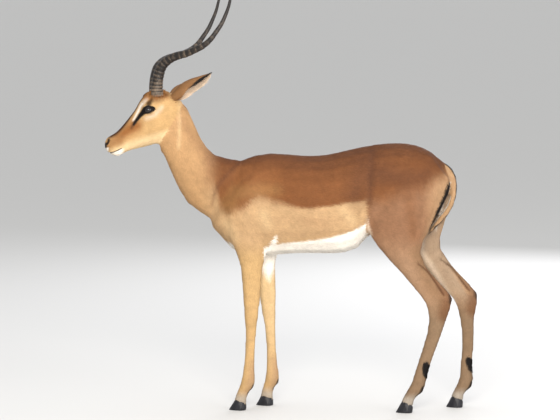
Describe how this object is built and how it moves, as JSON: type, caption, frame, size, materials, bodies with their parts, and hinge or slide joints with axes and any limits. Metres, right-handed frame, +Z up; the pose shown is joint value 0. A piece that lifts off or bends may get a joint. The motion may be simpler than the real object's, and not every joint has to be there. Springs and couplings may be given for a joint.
{
  "type": "standing antelope ram",
  "caption": "Standing life-size antelope ram with ringed lyre-shaped horns, head turned a little to its left, on four cloven feet.",
  "frame": {"origin": "on the ground, below the middle of the whole outline", "axes": "+Z up, the head towards -X, the animal's left side towards -Y"},
  "size_m": [1.274, 0.3222, 1.5285],
  "materials": {
    "coat": "short flat tan and red-brown fur, white below",
    "horn": "ringed grey-brown horn, smooth and dark at the tips",
    "hoof": "satin black horn",
    "eye": "wet dark brown eye"
  },
  "bodies": {
    "root": {"head": "coat", "neck": "coat", "trunk": "coat", "tail": "coat", "ear_left": "coat", "ear_right": "coat", "eye_left": "eye", "eye_right": "eye", "horn_left": "horn", "horn_right": "horn", "foreleg_left_upper": "coat", "foreleg_left_lower": "coat", "foreleg_left_claw_outer": "hoof", "foreleg_left_claw_inner": "hoof", "foreleg_right_upper": "coat", "foreleg_right_lower": "coat", "foreleg_right_claw_outer": "hoof", "foreleg_right_claw_inner": "hoof", "hindleg_left_upper": "coat", "hindleg_left_lower": "coat", "hindleg_left_claw_outer": "hoof", "hindleg_left_claw_inner": "hoof", "hindleg_right_upper": "coat", "hindleg_right_lower": "coat", "hindleg_right_claw_outer": "hoof", "hindleg_right_claw_inner": "hoof"}
  },
  "joints": []
}
